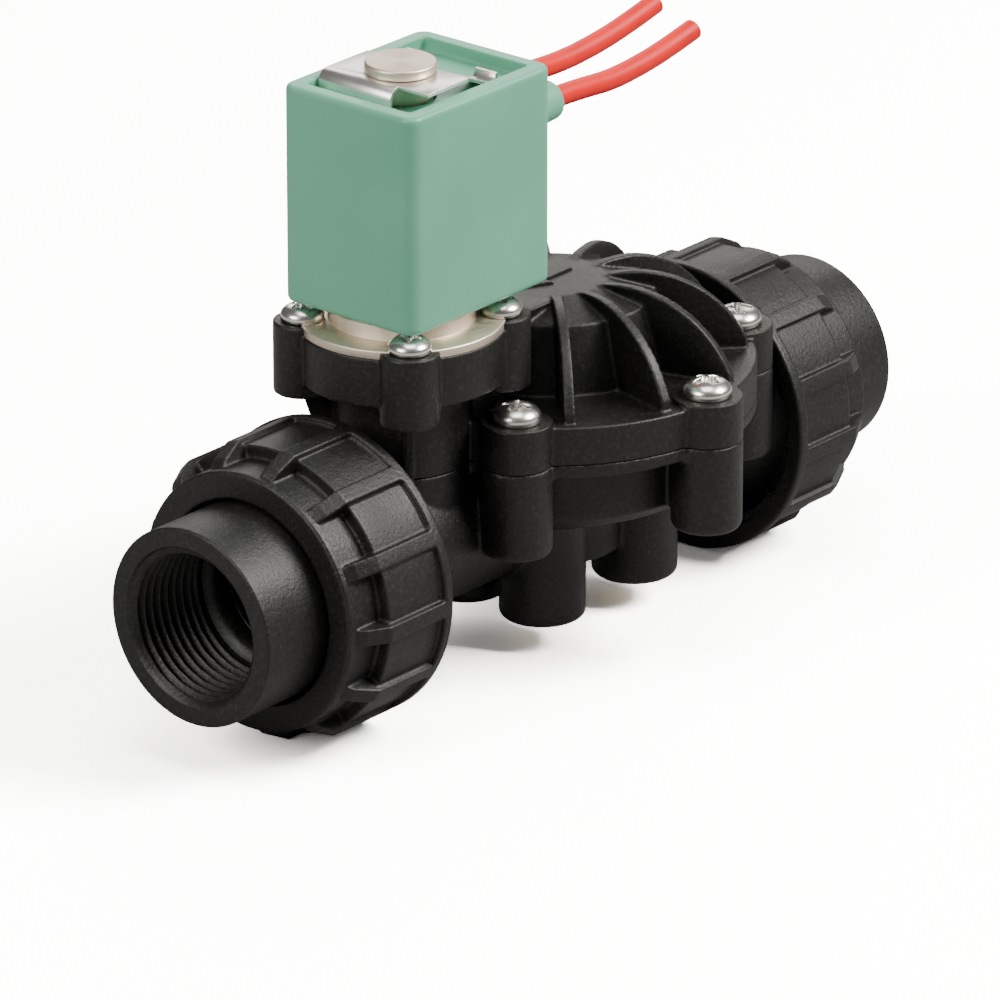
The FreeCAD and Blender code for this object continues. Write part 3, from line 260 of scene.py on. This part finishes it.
def green_moulding():
    """Moulded epoxy: even colour, slightly clouded gloss and faint flow lines."""
    shader = Shader("green_moulding", (0.10, 0.34, 0.22), 0.42)
    cloud = shader.noise(55, 4, 0.5)
    speck = shader.noise(900, 4, 0.6)
    flow = shader.noise(90, 3, 0.5, (0.25, 0.25, 3.0))
    shader.feed("Base Color", shader.ramp(cloud, [(0.3, (0.112, 0.368, 0.240)),
                                                  (0.7, (0.132, 0.410, 0.274))]))
    shader.feed("Roughness", shader.remap(cloud, 0.36, 0.50))
    shader.feed("Normal", shader.bump(speck, 0.16, 0.04, shader.bump(flow, 0.10, 0.20)))
    return shader.material


def turned_steel(name, colour, roughness, stretch):
    """Bright steel with fine marks drawn out along one direction."""
    shader = Shader(name, colour, roughness, 1.0)
    marks = shader.noise(700, 3, 0.6, stretch)
    cloud = shader.noise(90, 3, 0.5)
    shader.feed("Roughness", shader.remap(marks, roughness - 0.04, roughness + 0.08))
    shader.feed("Base Color", shader.ramp(cloud, [(0.3, tuple(c * 0.95 for c in colour)),
                                                  (0.7, colour)]))
    shader.feed("Normal", shader.bump(marks, 0.06, 0.015))
    return shader.material


def bright_plate(name, colour, roughness):
    """Plated or pressed metal: an even colour with a slightly clouded polish."""
    shader = Shader(name, colour, roughness, 1.0)
    cloud = shader.noise(120, 3, 0.5)
    shader.feed("Roughness", shader.remap(cloud, roughness * 0.85, roughness * 1.15))
    shader.feed("Normal", shader.bump(cloud, 0.04, 0.03))
    return shader.material


def red_insulation():
    """Extruded lead insulation: satin and slightly clouded."""
    shader = Shader("red_insulation", (0.72, 0.001, 0.001), 0.55)
    shader.surface.inputs["Specular IOR Level"].default_value = 0.3
    cloud = shader.noise(240, 4, 0.5)
    shader.feed("Base Color", shader.ramp(cloud, [(0.3, (0.66, 0.001, 0.001)),
                                                  (0.7, (0.78, 0.002, 0.002))]))
    shader.feed("Roughness", shader.remap(cloud, 0.42, 0.52))
    shader.feed("Normal", shader.bump(cloud, 0.12, 0.05))
    return shader.material


def rubber():
    """Moulded black rubber with a fine matt speck."""
    shader = Shader("rubber", (0.018, 0.018, 0.018), 0.7)
    speck = shader.noise(800, 4, 0.6)
    shader.feed("Roughness", shader.remap(speck, 0.6, 0.8))
    shader.feed("Normal", shader.bump(speck, 0.2, 0.05))
    return shader.material


def natural_plastic():
    """Unpigmented engineering plastic."""
    shader = Shader("natural_plastic", (0.55, 0.53, 0.48), 0.5)
    cloud = shader.noise(200, 4, 0.5)
    shader.feed("Roughness", shader.remap(cloud, 0.42, 0.56))
    shader.feed("Normal", shader.bump(cloud, 0.15, 0.05))
    return shader.material


def copper_wire():
    """Enamelled wire, wound in close turns up the bobbin."""
    shader = Shader("copper_wire", (0.62, 0.26, 0.12), 0.3, 1.0)
    wave = shader.tree.nodes.new("ShaderNodeTexWave")
    wave.bands_direction = "Z"
    wave.inputs["Scale"].default_value = 800
    shader.tree.links.new(shader.place, wave.inputs["Vector"])
    shader.feed("Normal", shader.bump(wave.outputs["Fac"], 0.6, 0.15))
    return shader.material


MATERIALS = {
    "black_plastic": black_plastic(),
    "green_moulding": green_moulding(),
    "stainless": turned_steel("stainless", (0.80, 0.70, 0.57), 0.46, (1, 1, 8)),
    "zinc_screw": bright_plate("zinc_screw", (0.84, 0.82, 0.78), 0.25),
    "spring_steel": bright_plate("spring_steel", (0.93, 0.90, 0.87), 0.33),
    "brass": bright_plate("brass", (0.75, 0.55, 0.25), 0.28),
    "core_iron": turned_steel("core_iron", (0.90, 0.87, 0.86), 0.36, (1, 1, 8)),
    "rubber": rubber(),
    "engineering_plastic": natural_plastic(),
    "copper": copper_wire(),
    "red_insulation": red_insulation(),
}
SLOT_OF = {part["node"]: part["material_slot"] for part in frame["record"]["subparts"]}


def dress(piece, node):
    """Gives a piece the material of a CAD node's slot and makes it ride on that node's body."""
    piece.data.materials.clear()
    piece.data.materials.append(MATERIALS[SLOT_OF[node]])
    home = next(name for name, members in bodies.items() if node in members)
    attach(piece, home)


# ---- camera ----------------------------------------------------------------------------
# fitted to the photograph; ASIDE and ABOVE shift it across its own view
AZIMUTH = math.radians(-50.13)
ELEVATION = math.radians(22.21)
DISTANCE = 1535.87 * MM
ASIDE = -2.08 * MM
ABOVE = -2.87 * MM
LENS = 335.98


def add_camera():
    """The camera that took the photograph, as fitted."""
    data = bpy.data.cameras.new("camera")
    data.lens = LENS
    data.sensor_width = 36
    data.clip_start = 0.05
    data.clip_end = 20
    camera = link("camera", data)
    back = Vector((math.sin(AZIMUTH) * math.cos(ELEVATION),
                   -math.cos(AZIMUTH) * math.cos(ELEVATION), math.sin(ELEVATION)))
    right = Vector((math.cos(AZIMUTH), math.sin(AZIMUTH), 0))
    up = back.cross(right)
    spot = flow_centre + back * DISTANCE + right * ASIDE + up * ABOVE
    camera.matrix_world = Matrix((
        (right.x, up.x, back.x, spot.x),
        (right.y, up.y, back.y, spot.y),
        (right.z, up.z, back.z, spot.z),
        (0, 0, 0, 1)))
    bpy.context.scene.camera = camera


# ---- leads -----------------------------------------------------------------------------
LEAD_DIAMETER = 3.6
LEAD_ROUTES = {"rear_lead": [(2.6, 5.7, 67.6), (10.6, 5.7, 67.4), (19.6, 5.8, 66.9),
                             (28.8, 5.8, 67.6), (37.2, 5.8, 69.0), (43.6, 5.8, 70.5)],
               "front_lead": [(2.6, -5.7, 67.6), (9.6, -5.7, 67.4), (17.4, -5.8, 66.7),
                              (25.2, -5.8, 67.2), (32.8, -5.8, 68.3), (39.2, -5.8, 69.7)]}


def add_lead(name):
    """A round lead along its route."""
    points = [flow_centre + Vector(point) * MM for point in LEAD_ROUTES[name]]
    curve = bpy.data.curves.new(name + "_insulation", "CURVE")
    curve.dimensions = "3D"
    spline = curve.splines.new("NURBS")
    spline.points.add(len(points) - 1)
    for control, point in zip(spline.points, points):
        control.co = (*point, 1)
    spline.order_u = 3
    spline.use_endpoint_u = True
    spline.resolution_u = 16
    curve.bevel_depth = LEAD_DIAMETER / 2 * MM
    curve.bevel_resolution = 10
    curve.use_fill_caps = True
    piece = link(name + "_insulation", curve)
    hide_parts(name)
    dress(piece, name)


# ---- unions ----------------------------------------------------------------------------
THREAD_PITCH = 1.814          # 3/4 inch pipe thread, 14 turns per inch
THREAD_HEIGHT = 1.35
THREAD_FLAT = 0.10            # share of the pitch that is flat at the root
THREAD_FLANKS = 0.80          # share of the pitch on the two flanks; the crest has the rest
THREAD_RUNOUT = 1.2           # turns over which the thread fades at its inner end
THREAD_ROWS = 170
TAIL_SEGMENTS = 160
TAIL_TUBE = 16.67
TAIL_BORE = 10.0
TAIL_RIM = 0.5
TAIL_FLANGE = 3.5
TAIL_EDGE = 0.4               # chamfer of the flange
TAIL_FILLET = 0.5             # slope where the flange meets the tube
PORT_CHAMFER = 1.4
PORT_LIP = 0.25
THREAD_START = 0.45           # from the port's face to the first row
THREAD_STOP = 0.3             # from the thread's inner end to where it has faded out
# (out of the bore, past the thread) for the cone between the two
TAIL_CONE = ((0.9, 0.4), (0.0, 1.5))


def towards(end):
    """A frame at the flow centre with local Z out of that end's port."""
    sign = 1 if end == "inlet" else -1
    out = Vector((sign, 0, 0))
    side = Vector((0, sign, 0))
    lift = Vector((0, 0, 1))
    axes = Matrix((side, lift, out)).transposed().to_4x4()
    return Matrix.Translation(flow_centre) @ axes


def clamped(share):
    """A share kept between nothing and the whole."""
    return min(1.0, max(0.0, share))


def tail_outside(inner, half, flange, crest):
    """Outline of the flange, the tube and the port's lip, from the bore's inner end."""
    seat = inner + TAIL_FLANGE
    lip = crest + PORT_CHAMFER + PORT_LIP
    outline = [(TAIL_BORE, inner), (flange - TAIL_EDGE, inner), (flange, inner + TAIL_EDGE),
               (flange, seat - TAIL_EDGE), (flange - TAIL_EDGE, seat),
               (TAIL_TUBE + TAIL_FILLET, seat), (TAIL_TUBE, seat + TAIL_FILLET)]
    outline += arc_points((TAIL_TUBE - TAIL_RIM, half - TAIL_RIM), TAIL_RIM, 0, 90, 5)
    outline += [(lip, half)]
    outline += arc_points((lip, half - PORT_LIP), PORT_LIP, 90, 135, 2)[1:]
    return outline


def thread_radius(height, turn, crest, half, thread_end):
    """Bore radius at a height and a share of a turn, on the thread or the port's chamfer."""
    phase = (height / THREAD_PITCH - turn) % 1.0
    flank = clamped((abs(phase - 0.5) * 2 - THREAD_FLAT) / THREAD_FLANKS)
    fade = clamped((height - thread_end - THREAD_STOP) / (THREAD_RUNOUT * THREAD_PITCH))
    radius = crest + THREAD_HEIGHT * (1 - flank) * fade
    return max(radius, crest + PORT_CHAMFER - (half - height))


def add_tailpiece(end):
    """Tailpiece with a real helical pipe thread cut into its bore."""
    node = end + "_tailpiece"
    low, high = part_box(node)
    reaches = [abs(corner.x - flow_centre.x) / MM for corner in (low, high)]
    half = max(reaches)
    flange = (high.z - low.z) / 2 / MM
    port = mounts[end + "_port"]["dims"]
    crest = port["r_mm"]
    thread_end = half - PORT_CHAMFER - port["length_mm"]
    start = half - THREAD_START
    heights = [start - (start - thread_end) * row / THREAD_ROWS for row in range(THREAD_ROWS + 1)]
    outside = tail_outside(min(reaches), half, flange, crest)
    inside = [(TAIL_BORE + out, thread_end - past) for out, past in TAIL_CONE]
    rings = []
    for step in range(TAIL_SEGMENTS):
        turn = step / TAIL_SEGMENTS
        thread = [(thread_radius(height, turn, crest, half, thread_end), height)
                  for height in heights]
        rings.append(outside + thread + inside)
    piece = closed_round(end + "_threaded_tail", rings, towards(end), sharp_degrees=40)
    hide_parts(node)
    dress(piece, node)


# ---- fasteners -------------------------------------------------------------------------
SCREW_SEGMENTS = 144
SCREW_RINGS = 56
SCREW_RIM = 0.34              # share of the head's height at its edge
DOME_FALL = 2.6               # the powers that shape the dome
DOME_ROUND = 0.62
RECESS_ARM = 0.60             # the recess's sizes are shares of the head's radius
RECESS_HALF_WIDTH = 0.17
RECESS_TAPER = 0.05
RECESS_WALL = 0.13
RECESS_RAMP = 0.30            # share of an arm that slopes up to its end
RECESS_DEPTH = 0.72           # share of the head's height
UNDER_EDGE = 0.1              # chamfer below the rim
UNDER_RISE = 0.06             # its height, a share of the head's
POINT_LENGTH = 0.8
POINT_SHARE = 0.6             # radius of the point's end, a share of the shank's
SCREW_REACH = 9.0             # vertices this near to a screw's first one belong to it


def dome_level(share, height):
    """Height of the domed head at a share of its radius."""
    return height * (SCREW_RIM + (1 - SCREW_RIM) * (1 - share ** DOME_FALL) ** DOME_ROUND)


def recess_depth(x, y, radius, height):
    """Depth of the cross recess at a point on the head."""
    arm = radius * RECESS_ARM
    depth = 0.0
    for along, across in ((x, y), (y, x)):
        width = radius * (RECESS_HALF_WIDTH + RECESS_TAPER * (1 - abs(along) / arm))
        inside = clamped((width - abs(across)) / (radius * RECESS_WALL))
        ramp = clamped((arm - abs(along)) / (arm * RECESS_RAMP))
        depth = max(depth, inside * ramp)
    return depth * height * RECESS_DEPTH


def pan_head(name, place, radius, height, shank, length):
    """Pan-head screw: domed head with a tapered cross recess, on a plain shank."""
    turns = [step / SCREW_SEGMENTS for step in range(SCREW_SEGMENTS)]
    centre = dome_level(0, height) - recess_depth(0, 0, radius, height)
    verts = [at_turn(place, 0, 0, centre)]
    for ring in range(1, SCREW_RINGS + 1):
        share = ring / SCREW_RINGS
        distance = radius * share
        for turn in turns:
            x = distance * math.cos(2 * math.pi * turn)
            y = distance * math.sin(2 * math.pi * turn)
            level = dome_level(share, height) - recess_depth(x, y, radius, height)
            verts.append(at_turn(place, distance, turn, level))
    underside = [(radius, UNDER_RISE * height), (radius - UNDER_EDGE, 0.0), (shank, 0.0),
                 (shank, -length + POINT_LENGTH), (shank * POINT_SHARE, -length)]
    for distance, level in underside:
        verts += [at_turn(place, distance, turn, level) for turn in turns]
    faces = [(0, 1 + step, 1 + (step + 1) % SCREW_SEGMENTS) for step in range(SCREW_SEGMENTS)]
    for row in range(SCREW_RINGS + len(underside) - 1):
        inner = 1 + row * SCREW_SEGMENTS
        outer = inner + SCREW_SEGMENTS
        for step in range(SCREW_SEGMENTS):
            after = (step + 1) % SCREW_SEGMENTS
            faces.append((inner + step, outer + step, outer + after, inner + after))
    tip = len(verts) - SCREW_SEGMENTS
    faces.append(tuple(reversed(range(tip, len(verts)))))
    mesh = bpy.data.meshes.new(name)
    mesh.from_pydata(verts, [], faces)
    finish_mesh(mesh, sharp_degrees=62)
    return link(name, mesh)


def screw_boxes(node):
    """The box of each loose screw in a CAD node, from its own vertices."""
    groups = {}
    for vertex in nodes[node].data.vertices:
        for key, points in groups.items():
            if (Vector(key) - vertex.co.xy).length < SCREW_REACH * MM:
                points.append(vertex.co.copy())
                break
        else:
            groups[tuple(vertex.co.xy)] = [vertex.co.copy()]
    boxes = []
    for points in groups.values():
        low = Vector([min(point[axis] for point in points) for axis in range(3)])
        high = Vector([max(point[axis] for point in points) for axis in range(3)])
        boxes.append((low, high))
    return boxes


def add_screws(node, shank, head_share, angles):
    """Replaces a group of screws; head_share is a head's height over its radius."""
    for index, (low, high) in enumerate(screw_boxes(node)):
        radius = (high.x - low.x) / 2 / MM
        head = head_share * radius
        seat = high.z / MM - head
        centre = (low + high) / 2
        spin = Matrix.Rotation(math.radians(angles[index]), 4, "Z")
        place = Matrix.Translation((centre.x, centre.y, seat * MM)) @ spin
        name = f"{node[:-1]}_{index + 1}"
        piece = pan_head(name, place, radius, head, shank, seat - low.z / MM)
        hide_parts(node)
        dress(piece, node)


# ---- core tube head --------------------------------------------------------------------
HEAD_THICKNESS = 1.8
HEAD_ROUND = 0.45
HEAD_EDGE = 0.3               # chamfer below the rim
SHOULDER_DEPTH = 3.0          # from below the head to the core's own radius
HEAD_SEGMENTS = 160
GROOVE_RADIUS = 4.2
GROOVE_WIDTH = 1.25
NECK_RADIUS = 5.3
CORE_RADIUS = 4.75
POCKET_RADIUS = 2.2
POCKET_DEPTH = 5.0
MARKS_INSET = 0.7             # from the rim to the first mark
TURNING_MARKS = 26
MARK_DEPTH = 0.07


def add_post_head():
    """Fixed core with its grooved head; the top is faced with fine concentric marks."""
    top = (head_high.z - flow_centre.z) / MM
    low = (head_low.z - flow_centre.z) / MM
    radius = (head_high.x - head_low.x) / 2 / MM
    under = top - HEAD_THICKNESS
    outline = [(0.0, low + POCKET_DEPTH), (POCKET_RADIUS, low + POCKET_DEPTH),
               (POCKET_RADIUS, low), (CORE_RADIUS, low), (CORE_RADIUS, under - SHOULDER_DEPTH),
               (NECK_RADIUS, under - SHOULDER_DEPTH), (NECK_RADIUS, under - GROOVE_WIDTH - 0.05),
               (GROOVE_RADIUS, under - GROOVE_WIDTH), (GROOVE_RADIUS, under),
               (radius - HEAD_EDGE, under), (radius, under + HEAD_EDGE), (radius, top - 0.5)]
    outline += arc_points((radius - HEAD_ROUND, top - HEAD_ROUND), HEAD_ROUND, 10, 80, 4)
    for index in range(TURNING_MARKS):
        distance = (radius - MARKS_INSET) * (1 - index / TURNING_MARKS)
        dip = MARK_DEPTH if index % 2 else 0.0
        outline.append((distance, top - dip))
    outline.append((0.0, top - 0.02))
    place = Matrix.Translation((tower_axis.x, tower_axis.y, flow_centre.z))
    piece = closed_round("fixed_core_head", [outline] * HEAD_SEGMENTS, place, sharp_degrees=60)
    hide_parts("fixed_core")
    dress(piece, "fixed_core")


# ---- mouldings and pressings -----------------------------------------------------------
MOULDINGS = (("bonnet", 0.28, 2), ("valve_body", 0.40, 3), ("inlet_union_nut", 0.24, 3),
             ("outlet_union_nut", 0.24, 3), ("coil_housing", 0.28, 5))
PRESSINGS = (("solenoid_base", 0.12), ("retaining_clip", 0.10))
CROWN_Z = 33.5                # top face of the bonnet's crown, above the flow axis
ARROW = [(-7.5, 0.0), (-2.5, 2.6), (-2.5, 0.8), (4.5, 0.8), (4.5, -0.8), (-2.5, -0.8),
         (-2.5, -2.6)]
ARROW_PROUD = 0.4
ARROW_ROUND = 0.15


def add_pressed(node, radius_mm):
    """A pressed sheet part with a small radius on every edge."""
    piece = link(node + "_sheet", nodes[node].data.copy())
    finish_mesh(piece.data, sharp_degrees=30)
    bevel = piece.modifiers.new("edge", "BEVEL")
    bevel.width = radius_mm * MM
    bevel.segments = 2
    bevel.limit_method = "ANGLE"
    bevel.angle_limit = math.radians(40)
    bevel.use_clamp_overlap = True
    apply_modifiers(piece)
    finish_mesh(piece.data, sharp_degrees=40)
    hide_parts(node)
    dress(piece, node)


def add_arrow():
    """Plain raised flow arrow on the bonnet's crown, pointing to the outlet."""
    centre = Vector((bonnet_axis.x, bonnet_axis.y, flow_centre.z + CROWN_Z * MM))
    bm = bmesh.new()
    low = [bm.verts.new(centre + Vector((x, y, -ARROW_PROUD)) * MM) for x, y in ARROW]
    bm.faces.new(low)
    grown = bmesh.ops.extrude_face_region(bm, geom=bm.faces[:])
    high = [item for item in grown["geom"] if isinstance(item, bmesh.types.BMVert)]
    bmesh.ops.translate(bm, verts=high, vec=(0, 0, 2 * ARROW_PROUD * MM))
    bmesh.ops.recalc_face_normals(bm, faces=bm.faces[:])
    rims = [edge for edge in bm.edges if all(vert in high for vert in edge.verts)]
    bmesh.ops.bevel(bm, geom=rims, offset=ARROW_ROUND * MM, segments=2, affect="EDGES")
    mesh = bpy.data.meshes.new("flow_arrow")
    bm.to_mesh(mesh)
    bm.free()
    finish_mesh(mesh, sharp_degrees=50)
    dress(link("flow_arrow", mesh), "bonnet")


def add_deforming(node):
    """A copy of a spring or of the rubber, on a mesh of its own."""
    piece = link(node + "_soft", nodes[node].data.copy())
    finish_mesh(piece.data, sharp_degrees=40)
    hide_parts(node)
    dress(piece, node)
    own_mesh(piece)


# ---- stage -----------------------------------------------------------------------------
FLOOR_HALF = 3.0              # metres
FLOOR_BOUNCE = 0.32           # paper as the light that bounces off it meets it
FLOOR_SEEN = 7.0              # paper as the camera sees it
WORLD_STRENGTH = 0.12
WARM = (1.0, 0.97, 0.92)
LAMP_AIM = 20                 # height of the point that the lamps face, above the flow axis
# name, place from that point, width and height in metres, watts
LAMPS = (("key", (0.50, -0.70, 0.85), (0.6, 0.5), 28),
         ("rim", (0.83, 0.70, 0.55), (0.9, 0.6), 5.5),
         ("left", (-0.95, 0.15, 0.55), (0.5, 0.5), 9),
         ("top", (-0.1, -0.1, 1.2), (0.6, 0.6), 6))


def add_lamp(name, offset, size, power):
    """A soft rectangular lamp that faces the valve."""
    data = bpy.data.lights.new(name, "AREA")
    data.shape = "RECTANGLE"
    data.size, data.size_y = size
    data.energy = power
    data.color = WARM
    lamp = link(name, data)
    target = flow_centre + Vector((0, 0, LAMP_AIM * MM))
    spot = target + Vector(offset)
    lamp.location = spot
    lamp.rotation_euler = (target - spot).to_track_quat("-Z", "Y").to_euler()


def grey(level):
    """An opaque grey."""
    return (level, level, level, 1)


def paper():
    """Pale paper that is brighter to the camera than to the light that bounces off it."""
    material = bpy.data.materials.new("paper")
    material.use_nodes = True
    tree = material.node_tree
    diffuse = tree.nodes.new("ShaderNodeBsdfDiffuse")
    seen = tree.nodes.new("ShaderNodeMix")
    seen.data_type = "RGBA"
    seen.inputs["A"].default_value = grey(FLOOR_BOUNCE)
    seen.inputs["B"].default_value = grey(FLOOR_SEEN)
    path = tree.nodes.new("ShaderNodeLightPath")
    tree.links.new(path.outputs["Is Camera Ray"], seen.inputs["Factor"])
    tree.links.new(seen.outputs["Result"], diffuse.inputs["Color"])
    tree.links.new(diffuse.outputs["BSDF"], tree.nodes["Material Output"].inputs["Surface"])
    return material


def add_floor():
    """Plain floor under the union nuts."""
    floor_z = min(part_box("inlet_union_nut")[0].z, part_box("outlet_union_nut")[0].z)
    corners = [(x * FLOOR_HALF, y * FLOOR_HALF, floor_z)
               for x, y in ((-1, -1), (1, -1), (1, 1), (-1, 1))]
    mesh = bpy.data.meshes.new("floor")
    mesh.from_pydata(corners, [], [(0, 1, 2, 3)])
    floor = link("floor", mesh)
    floor.data.materials.append(paper())


def add_world():
    """Even, dim white light from all round."""
    world = bpy.data.worlds.new("studio")
    bpy.context.scene.world = world
    world.use_nodes = True
    sky = world.node_tree.nodes["Background"]
    sky.inputs["Color"].default_value = grey(1)
    sky.inputs["Strength"].default_value = WORLD_STRENGTH


# ---- build -----------------------------------------------------------------------------
add_camera()
for lead_name in LEAD_ROUTES:
    add_lead(lead_name)
for end_name in ("inlet", "outlet"):
    add_tailpiece(end_name)
for moulding, voxel, smoothing_steps in MOULDINGS:
    softened(moulding, voxel, smoothing_steps)
for pressing, edge_radius in PRESSINGS:
    add_pressed(pressing, edge_radius)
add_arrow()
add_deforming("plunger_spring")
add_deforming("diaphragm_spring")
add_deforming("diaphragm")
add_screws("bonnet_screws", 2.0, 0.72, (10, 35, 60, 20, 75, 50))
add_screws("tower_screws", 1.5, 0.70, (25, 5, 50, 70))
add_post_head()
for node_name, node_object in nodes.items():
    node_object.data.materials.clear()
    node_object.data.materials.append(MATERIALS[SLOT_OF[node_name]])
add_floor()
add_world()
for lamp_name, offset, size, power in LAMPS:
    add_lamp(lamp_name, offset, size, power)
